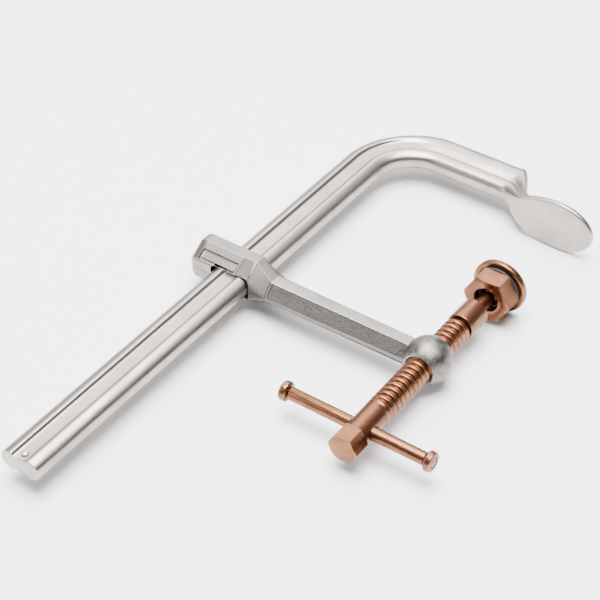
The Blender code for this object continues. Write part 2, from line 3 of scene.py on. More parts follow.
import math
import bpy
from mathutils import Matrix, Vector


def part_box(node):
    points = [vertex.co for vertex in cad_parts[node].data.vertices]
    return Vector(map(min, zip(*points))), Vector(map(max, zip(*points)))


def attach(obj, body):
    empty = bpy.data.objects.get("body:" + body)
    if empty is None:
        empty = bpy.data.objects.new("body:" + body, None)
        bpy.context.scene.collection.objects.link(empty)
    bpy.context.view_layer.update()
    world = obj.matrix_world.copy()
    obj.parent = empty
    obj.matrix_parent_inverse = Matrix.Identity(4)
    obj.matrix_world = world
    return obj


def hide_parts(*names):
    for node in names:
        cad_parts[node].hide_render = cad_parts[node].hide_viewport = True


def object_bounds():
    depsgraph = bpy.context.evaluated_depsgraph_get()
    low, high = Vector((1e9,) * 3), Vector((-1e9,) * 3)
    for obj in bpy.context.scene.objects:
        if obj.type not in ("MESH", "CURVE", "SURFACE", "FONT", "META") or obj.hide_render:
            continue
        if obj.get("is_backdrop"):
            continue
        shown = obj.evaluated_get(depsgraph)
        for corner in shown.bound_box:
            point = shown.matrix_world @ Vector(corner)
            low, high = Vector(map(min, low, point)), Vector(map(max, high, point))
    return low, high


bl_info = {
    "name": "F clamp looks",
    "version": (1, 0, 0),
    "blender": (4, 5, 0),
    "location": "3D View > Sidebar > F clamp",
    "description": "Builds the rail, arm, screw and swivel pad of an F clamp in fine detail",
    "category": "Object",
}

import bmesh
import bpy
import numpy as np
from bpy.props import FloatProperty, FloatVectorProperty, PointerProperty
from mathutils import Matrix, Vector

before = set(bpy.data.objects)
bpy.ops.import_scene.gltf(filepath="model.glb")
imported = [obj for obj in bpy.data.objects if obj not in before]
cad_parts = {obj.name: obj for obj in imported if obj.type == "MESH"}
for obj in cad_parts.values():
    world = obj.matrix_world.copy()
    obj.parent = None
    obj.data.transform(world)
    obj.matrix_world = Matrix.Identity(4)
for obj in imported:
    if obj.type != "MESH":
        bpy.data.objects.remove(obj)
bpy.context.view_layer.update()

MM = 0.001
FULL_TURN = 2 * math.pi
SMOOTH_ANGLE = math.radians(32)
TURNING_STEPS = 96
FULL_WEAR_CURVATURE = 1400
SEAT_GAP = 0.3 * MM
TOOL_REACH = 20 * MM


# Measures of the frame


BOXES = {node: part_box(node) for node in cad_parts}


def low(node):
    """The lowest corner of a frame node."""
    return Vector(BOXES[node][0])


def high(node):
    """The highest corner of a frame node."""
    return Vector(BOXES[node][1])


def middle(node):
    """The centre of a frame node's box."""
    return (low(node) + high(node)) / 2


# Sizes and colours


def length(name, description, default):
    """A size in millimetres, kept in metres."""
    return FloatProperty(name=name, description=description, default=default * MM, unit="LENGTH", precision=5)


def tint(name, description, default):
    """A linear colour."""
    return FloatVectorProperty(
        name=name, description=description, default=default, subtype="COLOR", size=3, min=0, max=1
    )


class ClampSizes(bpy.types.PropertyGroup):
    """Sizes of the details that the frame leaves plain."""

    throat: length("Throat", "From the screw's axis to the rail", 140)
    rail_width: length("Rail width", "Across the grooved face", 31)
    bend_radius: length("Bend radius", "Inner radius of the bend", 30)
    jaw_half_length: length("Jaw half length", "Half the jaw's length", 28.5)
    jaw_half_height: length("Jaw half height", "Half the jaw's height", 20)
    boss_radius: length("Boss radius", "Ball at the arm's end", 17)
    panel_depth: length("Panel depth", "Below the panel's border", 0.45)
    recess_depth: length("Recess depth", "Recess in the head", 1.3)
    pitch: length("Pitch", "Pitch of the screw", 5)
    thread_depth: length("Thread depth", "Crest to root", 1.9)
    hex_flats: length("Hexagon", "Across the screw's flats", 19.4)
    pad_hex_flats: length("Pad hexagon", "Across the pad's flats", 32)
    neck_radius: length("Neck radius", "Neck of the ball stud", 5.2)
    ball_radius: length("Ball radius", "Radius of the ball in the pad", 8)


class ClampColours(bpy.types.PropertyGroup):
    """Colours of the finishes."""

    plating: tint("Plating", "Zinc plating on the rail", (0.37, 0.335, 0.305))
    plating_dull: tint("Dull plating", "Patches of the plating", (0.29, 0.26, 0.235))
    forging: tint("Forging", "Ground faces", (0.26, 0.24, 0.222))
    forging_skin: tint("Forging skin", "Grainy panels", (0.165, 0.151, 0.14))
    copper: tint("Copper", "Copper plating", (0.225, 0.092, 0.045))
    copper_dull: tint("Dull copper", "Patches of the copper", (0.135, 0.062, 0.034))
    # Painted shade: a deep orange-brown laid into the thread's roots.
    copper_root_shade: tint("Copper root shade", "Roots of the thread", (0.3, 0.1, 0.036))
    copper_rubbed: tint("Rubbed copper", "Worn edges", (0.34, 0.18, 0.115))
    rubber: tint("Rubber", "Ring and liner", (0.006, 0.0055, 0.0055))
    pin: tint("Spring pin", "Blackened spring steel", (0.05, 0.047, 0.045))
    floor: tint("Floor", "The floor under the clamp", (0.93, 0.93, 0.93))


def sizes():
    """The sizes in use."""
    return bpy.context.scene.clamp_sizes


def colours():
    """The colours in use."""
    return bpy.context.scene.clamp_colours


# Shaping


def eased(points, radius, steps=3, closed=False):
    """A line of points with each corner rounded. A corner with its own radius comes as (a, b, radius)."""
    flat = [Vector(p[:2]) for p in points]
    rounded = []
    last = len(points) - 1
    for index, corner in enumerate(flat):
        if not closed and index in (0, last):
            rounded.append(tuple(corner))
            continue
        before, after = flat[index - 1], flat[(index + 1) % len(flat)]
        wish = points[index][2] if len(points[index]) > 2 else radius
        start = corner + (before - corner).normalized() * min(wish, (before - corner).length * 0.48)
        end = corner + (after - corner).normalized() * min(wish, (after - corner).length * 0.48)
        for t in arc(0, 1, steps):
            rounded.append(tuple(start * (1 - t) ** 2 + corner * 2 * t * (1 - t) + end * t**2))
    return rounded


def smoothstep(start, end, x):
    """0 before start, 1 after end, eased between."""
    t = min(1, max(0, (x - start) / (end - start)))
    return t * t * (3 - 2 * t)


def chaikin(points, rounds=2):
    """A closed line cut at its corners, a few times over."""
    for _ in range(rounds):
        cut = []
        for index, point in enumerate(points):
            after = points[(index + 1) % len(points)]
            cut.append(tuple(0.75 * p + 0.25 * q for p, q in zip(point, after)))
            cut.append(tuple(0.25 * p + 0.75 * q for p, q in zip(point, after)))
        points = cut
    return points


def extruded(mesh, loop, spots):
    """Extrudes a closed loop of vertices and sets the new loop on the given spots."""
    edges = [mesh.edges.get((loop[i - 1], loop[i])) for i in range(len(loop))]
    made = bmesh.ops.extrude_edge_only(mesh, edges=edges)["geom"]
    fresh = {item for item in made if isinstance(item, bmesh.types.BMVert)}
    following = []
    for vert, spot in zip(loop, spots):
        partner = next(e.other_vert(vert) for e in vert.link_edges if e.other_vert(vert) in fresh)
        partner.co = spot
        following.append(partner)
    return following


def lofted(rings):
    """A closed body extruded from ring to ring."""
    mesh = bmesh.new()
    loop = [mesh.verts.new(spot) for spot in rings[0]]
    mesh.faces.new(loop)
    for ring in rings[1:]:
        loop = extruded(mesh, loop, ring)
    mesh.faces.new(loop)
    bmesh.ops.recalc_face_normals(mesh, faces=mesh.faces)
    return mesh


def spun(points, steps, closed=False, rise=0):
    """A line of (y, radius) points spun once about Y, meeting itself unless it rises as it turns."""
    mesh = bmesh.new()
    verts = [mesh.verts.new((radius, y, 0)) for y, radius in points]
    for first, second in zip(verts, verts[1:]):
        mesh.edges.new((first, second))
    if closed:
        mesh.edges.new((verts[-1], verts[0]))
    turn = {"cent": (0, 0, 0), "axis": (0, 1, 0), "dvec": (0, rise / steps, 0), "angle": FULL_TURN}
    shape = mesh.verts[:] + mesh.edges[:]
    bmesh.ops.spin(mesh, geom=shape, steps=steps, use_merge=rise == 0, use_duplicate=False, **turn)
    return mesh


def turned(points, closed=False, steps=TURNING_STEPS):
    """A body turned about Y from (y, radius) points."""
    mesh = spun(points, steps, closed)
    bmesh.ops.remove_doubles(mesh, verts=mesh.verts, dist=1e-6)
    bmesh.ops.recalc_face_normals(mesh, faces=mesh.faces)
    return mesh


def rod(start, end, radius, steps=48):
    """A plain cylinder about Y, for cutting."""
    return turned([(start, 0), (start, radius), (end, radius), (end, 0)], steps=steps)


def turn_about(mesh, axis, degrees):
    """Turns a mesh about an axis through the origin."""
    matrix = Matrix.Rotation(math.radians(degrees), 3, axis)
    bmesh.ops.rotate(mesh, verts=mesh.verts, cent=(0, 0, 0), matrix=matrix)
    return mesh


def arc(start, end, steps):
    """Evenly spaced angles."""
    return [start + (end - start) * k / steps for k in range(steps + 1)]


def round_line(centre, radius, start, end, steps):
    """A (y, radius) line round a sphere on the Y axis, its angles measured from +Y."""
    line = [(centre + radius * math.cos(t), radius * math.sin(t)) for t in arc(start, end, steps)]
    return [(y, r if r > 1e-9 else 0) for y, r in line]


def shifted(mesh, offset):
    """Moves a mesh."""
    bmesh.ops.translate(mesh, verts=mesh.verts, vec=offset)
    return mesh


def as_object(name, mesh):
    """A plain object from a bmesh."""
    data = bpy.data.meshes.new(name)
    mesh.to_mesh(data)
    mesh.free()
    made = bpy.data.objects.new(name, data)
    bpy.context.scene.collection.objects.link(made)
    return made


def combined(mesh, tool, operation):
    """The union, difference or intersection of two closed meshes."""
    target, cutter = as_object("target", mesh), as_object("cutter", tool)
    step = target.modifiers.new("step", "BOOLEAN")
    step.operation, step.solver, step.object = operation, "EXACT", cutter
    result = bmesh.new()
    bpy.context.view_layer.update()
    result.from_object(target, bpy.context.evaluated_depsgraph_get())
    for item in (target, cutter):
        data = item.data
        bpy.data.objects.remove(item, do_unlink=True)
        bpy.data.meshes.remove(data)
    bmesh.ops.remove_doubles(result, verts=result.verts, dist=2e-6)
    bmesh.ops.dissolve_degenerate(result, edges=result.edges, dist=1e-6)
    return result


def hexagon(flats, start, end, near_cut, far_cut):
    """A hexagonal bar about Y with corners on X, its corners turned off at the ends."""
    corner = flats / math.sqrt(3)
    bar = turned([(start, 0), (start, corner), (end, corner), (end, 0)], steps=6)
    beyond = 2 * MM
    slope = 0.5
    near = start + (near_cut + beyond) * slope
    far = end - (far_cut + beyond) * slope
    profile = [(start - MM, 0), (start - MM, corner - near_cut - MM / slope), (near, corner + beyond)]
    profile += [(far, corner + beyond), (end + MM, corner - far_cut - MM / slope), (end + MM, 0)]
    return combined(bar, turned(profile), "INTERSECT")


def mark_edges(mesh):
    """Splits shading at sharp edges, and marks how sharply each face stands out or lies in."""
    wear = mesh.faces.layers.float.new("edge_wear")
    hollow = mesh.faces.layers.float.new("hollow")
    for edge in mesh.edges:
        edge.smooth = len(edge.link_faces) == 2 and edge.calc_face_angle(0) < SMOOTH_ANGLE
    for face in mesh.faces:
        face.smooth = True
        bend = sum(edge.calc_face_angle_signed(0) * edge.calc_length() for edge in face.edges)
        curve = bend / (2 * max(face.calc_area(), 1e-10)) / FULL_WEAR_CURVATURE
        face[wear] = min(1, max(0, curve))
        # The hollow mark is where the finishes paint shade into creases and thread roots.
        face[hollow] = min(1, max(0, -curve))


def finished(name, mesh, surface, body, nodes):
    """A finished piece: shaded, painted, riding on its body and standing for its frame nodes."""
    mark_edges(mesh)
    piece = as_object(name, mesh)
    piece.data.materials.append(surface)
    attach(piece, body)
    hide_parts(*nodes)
    return piece


# Finishes


class Finish:
    """A node material under construction."""

    def __init__(self, name):
        self.material = bpy.data.materials.new(name)
        self.material.use_nodes = True
        self.tree = self.material.node_tree
        self.shader = self.tree.nodes["Principled BSDF"]
        self.place = self.tree.nodes.new("ShaderNodeTexCoord").outputs["Object"]

    def node(self, kind, links=(), **settings):
        """Adds a node. Settings name its properties or its sockets, and links feed its inputs."""
        made = self.tree.nodes.new(kind)
        for key, value in settings.items():
            if hasattr(made, key):
                setattr(made, key, value)
            else:
                made.inputs[key.replace("_", " ").title()].default_value = value
        for socket, source in links:
            self.tree.links.new(source, made.inputs[socket])
        return made

    def noise(self, scale, detail=3.0, stretch=None, rough=0.55):
        """Noise on object coordinates, stretched if asked."""
        source = self.place
        if stretch:
            source = self.node("ShaderNodeMapping", [("Vector", source)], scale=stretch).outputs["Vector"]
        settings = {"scale": scale, "detail": detail, "roughness": rough}
        return self.node("ShaderNodeTexNoise", [("Vector", source)], **settings).outputs["Fac"]

    def spread(self, value, start, end, least=0.0, most=1.0):
        """Maps a value from one range to another, clamped."""
        made = self.node("ShaderNodeMapRange", [("Value", value)])
        for key, number in zip(("From Min", "From Max", "To Min", "To Max"), (start, end, least, most)):
            made.inputs[key].default_value = number
        return made.outputs["Result"]

    def blend(self, amount, first, second):
        """Mixes two colours, each a colour or a socket."""
        made = self.node("ShaderNodeMix", [("Factor", amount)], data_type="RGBA")
        for index, source in ((6, first), (7, second)):
            if isinstance(source, bpy.types.NodeSocket):
                self.tree.links.new(source, made.inputs[index])
            else:
                made.inputs[index].default_value = (*source, 1)
        return made.outputs[2]

    def sum(self, operation, first, second):
        """One arithmetic step on two values."""
        return self.node("ShaderNodeMath", [(0, first), (1, second)], operation=operation).outputs["Value"]

    def attribute(self, name):
        """A value stored on the mesh."""
        return self.node("ShaderNodeAttribute", attribute_name=name).outputs["Fac"]

    def marked(self, name, start, most, colour, paint):
        """Paints over a colour where a value stored on the mesh is high."""
        return self.blend(self.spread(self.attribute(name), start, 0.9, 0, most), colour, paint)

    def bump(self, height, depth, under=None):
        """A bump of the given depth in metres, laid over another."""
        links = [("Height", height)] + ([("Normal", under)] if under else [])
        made = self.node("ShaderNodeBump", links)
        made.inputs["Distance"].default_value = depth
        made.inputs["Strength"].default_value = 1.0
        return made.outputs["Normal"]

    def close(self, colour, roughness, normal, metallic=1.0):
        """Feeds the shader and returns the material."""
        self.tree.links.new(colour, self.shader.inputs["Base Color"])
        self.tree.links.new(roughness, self.shader.inputs["Roughness"])
        self.tree.links.new(normal, self.shader.inputs["Normal"])
        self.shader.inputs["Metallic"].default_value = metallic
        return self.material


def plated_steel():
    """Satin zinc plating over a drawn bar, brighter on its edges, with painted shade darkening its hollows.
    """
    shade = colours()
    make = Finish("plated_steel")
    drawn = make.noise(1.0, 4, stretch=(2600, 60, 2600))
    patches = make.noise(38, 4)
    specks = make.noise(900, 2)
    colour = make.blend(make.spread(patches, 0.38, 0.66), shade.plating, shade.plating_dull)
    pale, bright, plated_hollow_shade = (0.4, 0.385, 0.37), (0.5, 0.47, 0.44), (0.12, 0.11, 0.1)
    colour = make.blend(make.spread(specks, 0.62, 0.75, 0, 0.35), colour, pale)
    colour = make.marked("edge_wear", 0.25, 0.6, colour, bright)
    # Painted shade: faces that lie in a hollow are darkened here.
    colour = make.marked("hollow", 0.2, 0.55, colour, plated_hollow_shade)
    patchy = make.spread(patches, 0.3, 0.7, -0.03, 0.05)
    rough = make.sum("ADD", make.spread(drawn, 0.3, 0.7, 0.27, 0.37), patchy)
    normal = make.bump(drawn, 0.00002)
    normal = make.bump(make.noise(160, 3), 0.00006, normal)
    return make.close(colour, rough, normal)


def forged_steel():
    """Forging skin: coarse and grey on its panels, ground and paler elsewhere, with painted shade darkening
    its hollows.
    """
    shade = colours()
    make = Finish("forged_steel")
    skin = make.attribute("skin")
    grain = make.noise(1300, 3, rough=0.7)
    pits = make.noise(420, 2)
    patches = make.noise(60, 5)
    dull, scale, pitted = (0.21, 0.198, 0.188), (0.075, 0.07, 0.066), (0.08, 0.075, 0.07)
    bright, forged_hollow_shade = (0.55, 0.53, 0.51), (0.03, 0.028, 0.026)
    line, stain = (0.025, 0.023, 0.021), (0.1, 0.094, 0.09)
    smooth = make.blend(make.spread(patches, 0.36, 0.66), shade.forging, dull)
    coarse = make.blend(make.spread(grain, 0.4, 0.6), scale, shade.forging_skin)
    colour = make.blend(skin, smooth, coarse)
    colour = make.blend(make.spread(pits, 0.62, 0.75, 0, 0.4), colour, pitted)
    colour = make.marked("edge_wear", 0.3, 0.7, colour, bright)
    # Painted shade: faces that lie in a hollow are darkened strongly here.
    colour = make.marked("hollow", 0.2, 0.7, colour, forged_hollow_shade)
    colour = make.blend(make.attribute("crease"), colour, line)
    mottle = make.sum("MULTIPLY", make.spread(make.noise(230, 4), 0.45, 0.62), make.attribute("ball"))
    colour = make.blend(mottle, colour, stain)
    rough = make.sum("ADD", make.spread(skin, 0, 1, 0.3, 0.46), make.spread(patches, 0.35, 0.7, -0.04, 0.08))
    height = make.sum("MULTIPLY", grain, make.spread(skin, 0, 1, 0.12, 1))
    normal = make.bump(height, 0.0004)
    normal = make.bump(make.noise(140, 3), 0.00014, normal)
    return make.close(colour, rough, normal)


def coppered(name, stretch, dull=0.5, fresh=0.01):
    """Copper plating with tool marks, browner in patches, pale on its edges, with painted shade in its
    hollows.
    """
    shade = colours()
    make = Finish(name)
    marks = make.noise(1.0, 4, stretch=stretch)
    patches = make.noise(85, 4)
    colour = make.blend(make.spread(patches, 0.36, 0.68, 0, dull * 2), shade.copper, shade.copper_dull)
    colour = make.blend(make.spread(marks, 0.55, 0.8, 0, 0.35), colour, shade.copper_dull)
    # Painted shade: where a face lies in a hollow, such as a thread root, the root shade colour is laid in,
    # as strongly as fresh says.
    roots = make.spread(make.attribute("hollow"), 0.1, 0.7, 0, fresh)
    colour = make.blend(roots, colour, shade.copper_root_shade)
    colour = make.marked("edge_wear", 0.25, 0.6, colour, shade.copper_rubbed)
    patchy = make.spread(patches, 0.3, 0.7, -0.02, 0.07)
    rough = make.sum("ADD", make.spread(marks, 0.3, 0.7, 0.24, 0.36), patchy)
    normal = make.bump(marks, 0.00002)
    normal = make.bump(make.noise(260, 3), 0.00005, normal)
    return make.close(colour, rough, normal)


def dark_finish(name, colour, gloss, metallic):
    """Rubber, moulded plastic or blackened steel with a fine dusty grain."""
    make = Finish(name)
    dust = make.noise(700, 4)
    lighter = tuple(min(1, channel * 2.4 + 0.01) for channel in colour)
    paint = make.blend(make.spread(dust, 0.45, 0.75, 0, 0.6), tuple(colour), lighter)
    rough = make.spread(dust, 0.3, 0.7, gloss - 0.07, gloss + 0.1)
    return make.close(paint, rough, make.bump(dust, 0.00004), metallic)


def pin_steel():
    """Plain turned steel for the stop pin."""
    make = Finish("pin_steel")
    marks = make.noise(420, 3)
    colour = make.blend(make.spread(marks, 0.35, 0.7), (0.5, 0.48, 0.45), (0.34, 0.325, 0.31))
    colour = make.marked("edge_wear", 0.2, 0.5, colour, (0.75, 0.73, 0.7))
    rough = make.spread(marks, 0.3, 0.7, 0.28, 0.42)
    return make.close(colour, rough, make.bump(marks, 0.00005))


# The rail with its fixed jaw. Half sections run from the outer edge (1) to the inner one (0), heights in mm.

RAIL_SECTION = (
    [(1, 1.6), (0.97, 4.3), (0.9, 6.2), (0.8, 7.5), (0.725, 7.8), (0.695, 7.2), (0.668, 5.9), (0.6, 5.6)]
    + [(0.4, 5.6), (0.332, 5.9), (0.305, 7.2), (0.275, 7.8), (0.2, 7.5), (0.1, 6.2), (0.03, 4.3), (0, 1.6)]
)
ARM_SECTION = (
    [(1, 1.8), (0.975, 5.0), (0.91, 7.4), (0.82, 8.7), (0.72, 9.1), (0.64, 8.9), (0.56, 8.2), (0.48, 7.2)]
    + [(0.41, 6.1), (0.36, 5.6), (0.33, 6.2), (0.29, 7.6), (0.2, 7.5), (0.1, 6.3), (0.03, 4.3), (0, 1.6)]
)
JAW_SECTION = (
    [(1, 0.25), (1, 0.5), (0.97, 0.72), (0.92, 0.84), (0.86, 0.91), (0.79, 0.95), (0.7, 0.985), (0.6, 1)]
    + [(0.5, 1), (0.4, 1), (0.3, 1), (0.2, 0.995), (0.11, 0.985), (0.04, 0.965), (0, 0.93), (0, 0.5)]
)
RAIL_TOP = 7.8
FREE_END_EASING = ((1.0, 0), (0.4, 0.2), (0.1, 0.55), (0, 1.1))
BEND_STEPS = 48
ARM_X = [-92, -76, -64, -58]
ARM_END_X = -54
NECK_STEP = 1.35
NECK_STEPS = 40
NECK_BULGE = 1.2
JAW_THICKNESS = 6
JAW_THINNING = 1.3
TIP_ANGLES = (4, 9, 15, 21, 27, 33, 39, 45, 51, 57, 62, 67, 71, 75, 78, 81, 83.5, 86, 88)
STOP_PIN_RADIUS = 2.5 * MM


def whole_section(half):
    """A closed, softened section from its upper half."""
    return chaikin(list(half) + [(a, -z) for a, z in reversed(half)])


def section_ring(half, place):
    """A ring of a section, set in space by place(share, height in mm)."""
    return [place(share, z) for share, z in whole_section(half)]


def arm_side_y():
    """The inner side of the fixed arm."""
    return high("rail_with_fixed_jaw").y - sizes().rail_width


def free_end_rings():
    """The rings at the rail's free end, drawn in a little at its edge."""
    size = sizes()
    width = size.rail_width
    rings = []
    for inset, step in FREE_END_EASING:
        shrink = inset * MM
        flat = 1 - 0.12 * inset
        y = low("rail_with_fixed_jaw").y + step * MM

        def place(share, z):
            return (-size.throat - shrink - share * (width - 2 * shrink), y, z * MM * flat)

        rings.append(section_ring(RAIL_SECTION, place))
    return rings


def bend_rings():
    """The rings round the bend, where the rail's section turns into the arm's."""
    size = sizes()
    centre = Vector((size.bend_radius - size.throat, arm_side_y() - size.bend_radius, 0))
    rings = []
    for turn in arc(0, 1, BEND_STEPS):
        angle = turn * math.pi / 2
        outward = Vector((-math.cos(angle), math.sin(angle), 0))
        swell = smoothstep(0.35, 1.0, turn)
        pairs = zip(RAIL_SECTION, ARM_SECTION)
        half = [(a + (b - a) * swell, z + (w - z) * swell) for (a, z), (b, w) in pairs]

        def place(share, z):
            spot = centre + outward * (size.bend_radius + share * size.rail_width)
            return (spot.x, spot.y, z * MM)

        rings.append(section_ring(half, place))
    return rings


def neck_height(x):
    """Half the height of the neck, in mm, spreading towards the jaw's middle."""
    spread = 0.5 + 0.5 * math.cos(math.pi * x / ARM_END_X)
    return RAIL_TOP + (sizes().jaw_half_height / MM - RAIL_TOP) * spread


def neck_sides(x):
    """The inner and outer side of the neck, in mm, narrowing to the jaw's plate."""
    inner = arm_side_y() / MM
    outer = inner + sizes().rail_width / MM
    near = inner * (1 - smoothstep(ARM_END_X, -29, x))
    far = outer + (JAW_THICKNESS + JAW_THINNING - outer) * smoothstep(-50.5, -25.5, x)
    far -= JAW_THINNING * smoothstep(-25, 0, x)
    if x > ARM_END_X:
        far += NECK_BULGE * math.sin(math.pi * smoothstep(ARM_END_X, -44, x))
    return near, far


def neck_rings():
    """The rings from the end of the arm to the middle of the jaw."""
    rings = []
    for x in ARM_X + [ARM_END_X + NECK_STEP * k for k in range(NECK_STEPS)] + [0]:
        share = smoothstep(ARM_END_X + 1, -31, x)
        near, far = neck_sides(x)
        tall = neck_height(x) if x > ARM_END_X else RAIL_TOP
        half = []
        for (a, z), (b, w) in zip(ARM_SECTION, JAW_SECTION):
            half.append((a + (b - a) * share, z * tall / RAIL_TOP * (1 - share) + w * tall * share))

        def place(depth, z):
            return (x * MM, (near + depth * (far - near)) * MM, z * MM)

        rings.append(section_ring(half, place))
    return rings


def outline_at(depth):
    """How far the jaw's outline reaches at a depth through the plate, as a share of its full size."""
    depths, reaches = zip(*sorted(JAW_SECTION[1:-1]))
    return float(np.interp(depth, depths, reaches))


def tip_rings():
    """The rings from the middle of the jaw to its tip, with the rim rounded all the way."""
    size = sizes()
    reach = size.jaw_half_length / MM
    tall = size.jaw_half_height / MM
    rings = []
    for angle in TIP_ANGLES:
        q = math.sin(math.radians(angle))
        thick = JAW_THICKNESS - JAW_THINNING * q
        depths = [d / 100 for d in range(101) if outline_at(d / 100) >= q]
        nearest, furthest = depths[0], depths[-1]
        half = []
        for index, (b, w) in enumerate(JAW_SECTION):
            depth = nearest + b * (furthest - nearest)
            z = tall * math.sqrt(max(outline_at(depth) ** 2 - q * q, 0.0002))
            half.append((depth, z * (0.5 if index in (0, len(JAW_SECTION) - 1) else 1)))

        def place(depth, z):
            return (q * reach * MM, depth * thick * MM, z * MM)

        rings.append(section_ring(half, place))
    return rings


def rail_mesh():
    """The rail, its bend, the fixed arm and its jaw: one forged bar, drilled for the stop pin."""
    mesh = lofted(free_end_rings() + bend_rings() + neck_rings() + tip_rings())
    hole = turn_about(rod(-TOOL_REACH, TOOL_REACH, STOP_PIN_RADIUS + 0.1 * MM), "X", 90)
    return combined(mesh, shifted(hole, middle("stop_pin")), "DIFFERENCE")


# The sliding arm. Its stations run from the head's outer end, in mm: place, front, the flat band's
# two edges, back, then the heights of the shoulder and the top.

ARM_STATIONS = (
    (0, -6.5, 1.5, 5.5, 6.5, 1.5, 7.5),
    (0.5, -8.6, 1.2, 6.6, 8.6, 2.8, 10),
    (1.8, -10.8, 0.9, 7.8, 10.8, 5, 13),
    (3.6, -12.2, 0.6, 8.6, 12.2, 6.8, 15),
    (6, -13, 0.5, 9, 13, 7.8, 15.9),
    (9, -13, 0.5, 9, 13, 8, 16),
    (49, -13, 0.5, 9, 13, 8, 16),
    (51, -13, 0.5, 9, 13, 7.9, 16),
    (51.6, -13, 0.3, 8.8, 13, 7.7, 15.8),
    (66.2, -13, -4.6, 4.2, 13, 1.2, 10.15),
    (67, -13, -4.8, 4, 13, 1, 10),
    (120, -11.8, -4.6, 4, 11.8, 0.9, 10),
    (186, -10, -4.2, 4, 10, 0.9, 10),
)
HEAD_LENGTH = 51
BEAM_START, BEAM_END = 67, 186
BOSS_STEPS = 40
BOSS_RIM = 10.9 * MM
BORE_RADIUS = 9.85 * MM
RAIL_HALF_HEIGHT = 7.7 * MM
WINDOW_GAP = 0.8 * MM
KEY_HALF_WIDTH = 4.6 * MM
KEY_FOOT, KEY_TOP = 6.2 * MM, 9.5 * MM
BALL_START_X = -15 * MM
PLAIN_SKIN, BALL_SKIN, HEAD_SKIN, SHOULDER_SKIN = 0.15, 0.4, 0.6, 0.95


def forging_section(front, band_front, band_back, back, shoulder, top, parting):
    """A closed section of the arm in mm from its middle, with softened corners."""
    upper = [(front, parting, 0.25), (front, shoulder, 1.6), (band_front, top, 1.1)]
    upper += [(band_back, top, 0.9), (back, shoulder, 1.6), (back, parting, 0.25)]
    lower = [(y, -z, radius) for y, z, radius in reversed(upper)]
    return eased(upper + lower, 1, steps=4, closed=True)


def arm_rings():
    """The rings of the arm from the head's outer end to the ball."""
    outer = low("sliding_arm").x / MM
    centre_y = arm_centre_y()
    rings = []
    for x, front, band_front, band_back, back, shoulder, top in ARM_STATIONS:
        parting = min(0.55, shoulder * 0.5)
        section = forging_section(front, band_front, band_back, back, shoulder, top, parting)
        rings.append([((outer + x) * MM, centre_y + y * MM, z * MM) for y, z in section])
    return rings


def boss_mesh():
    """The ball at the arm's end, cut flat on both sides round its bore."""
    radius = sizes().boss_radius
    flat = math.sqrt(radius**2 - (BOSS_RIM + 0.7 * MM) ** 2)
    lean = math.asin(flat / radius)
    side = [(-flat + 0.9 * MM, 0), (-flat + 0.9 * MM, BOSS_RIM - MM), (-flat, BOSS_RIM)]
    dome = round_line(0, radius, math.pi / 2 + lean, math.pi / 2 - lean, BOSS_STEPS)
    return turned(side + dome + [(-y, r) for y, r in reversed(side)])


def arm_mesh():
    """The arm's head, beam and ball, before its details."""
    ball = shifted(boss_mesh(), (0, arm_centre_y(), 0))
    return combined(lofted(arm_rings()), ball, "UNION")


def arm_centre_y():
    """The middle plane of the sliding arm."""
    return (low("sliding_arm").y + high("sliding_arm").y) / 2


def soft_block(low_corner, high_corner, radius):
    """A box with its four edges along Y rounded."""
    mesh = bmesh.new()
    bmesh.ops.create_cube(mesh, size=1)
    span = high_corner - low_corner
    centre = (high_corner + low_corner) / 2
    bmesh.ops.scale(mesh, verts=mesh.verts, vec=span)
    runs = [edge for edge in mesh.edges if abs(edge.verts[0].co.y - edge.verts[1].co.y) > span.y * 0.9]
    shape = {"segments": 5, "profile": 0.5, "material": -1, "clamp_overlap": True}
    bmesh.ops.bevel(mesh, geom=runs, offset=radius, affect="EDGES", **shape)
    return shifted(mesh, centre)


def sloping_point(x, foot, top, share, depth, side):
    """A point on a sloping front given by the (y, z) of its foot and top, in mm, some way up and below it."""
    foot, top = Vector((0, *foot)), Vector((0, *top))
    climb = top - foot
    inward = Vector((0, climb.z, -climb.y)).normalized()
    spot = foot + climb * share + inward * depth
    return Vector((x * MM, arm_centre_y() + spot.y * MM, spot.z * MM * side))


def slope_point(x, share, depth, side):
    """A point on the beam's sloping front, x from the screw's axis."""
    run = (x - low("sliding_arm").x / MM - BEAM_START) / (BEAM_END - BEAM_START)
    return sloping_point(x, (-13 + 3 * run, 0.95), (-4.8 + 0.6 * run, 10), share, depth, side)


def panel_tool(side):
    """The shape of the shallow grainy panel on the beam's sloping front."""
    depth = sizes().panel_depth / MM
    rings = []
    for base, lean, less in ((-124.2, 0, 0.4), (-123.6, 0, 0), (-20.2, 6, 0), (-19.4, 6, 0.4)):
        ring = []
        for share, down in ((0.05, depth), (0.95, depth), (0.98, -1.5), (0.02, -1.5)):
            share = 0.5 + (share - 0.5) * (1 - less * 0.1)
            ring.append(slope_point(base + lean * share, share, down, side))
        rings.append(ring)
    return lofted(rings)


def front_point(x, share, depth, side):
    """A point on the head's sloping front, x from the head's outer end."""
    return sloping_point(low("sliding_arm").x / MM + x, (-13, 8), (0.5, 16), share, depth, side)


def recess_tool(side, start, end, from_share, to_share, depth, out=-1.5, lean=0):
    """A shallow pocket in the head's sloping front."""
    rings = []
    for x, less in ((start, 0.06), (start + 0.5, 0), (end - 0.5, 0), (end, 0.06)):
        ring = []
        for share, down in ((from_share, depth), (to_share, depth), (to_share, out), (from_share, out)):
            mid = (from_share + to_share) / 2
            share = mid + (share - mid) * (1 - less)
            shift = lean * (share - mid) if x > (start + end) / 2 else 0
            ring.append(front_point(x + shift, share, down, side))
        rings.append(ring)
    return lofted(rings)


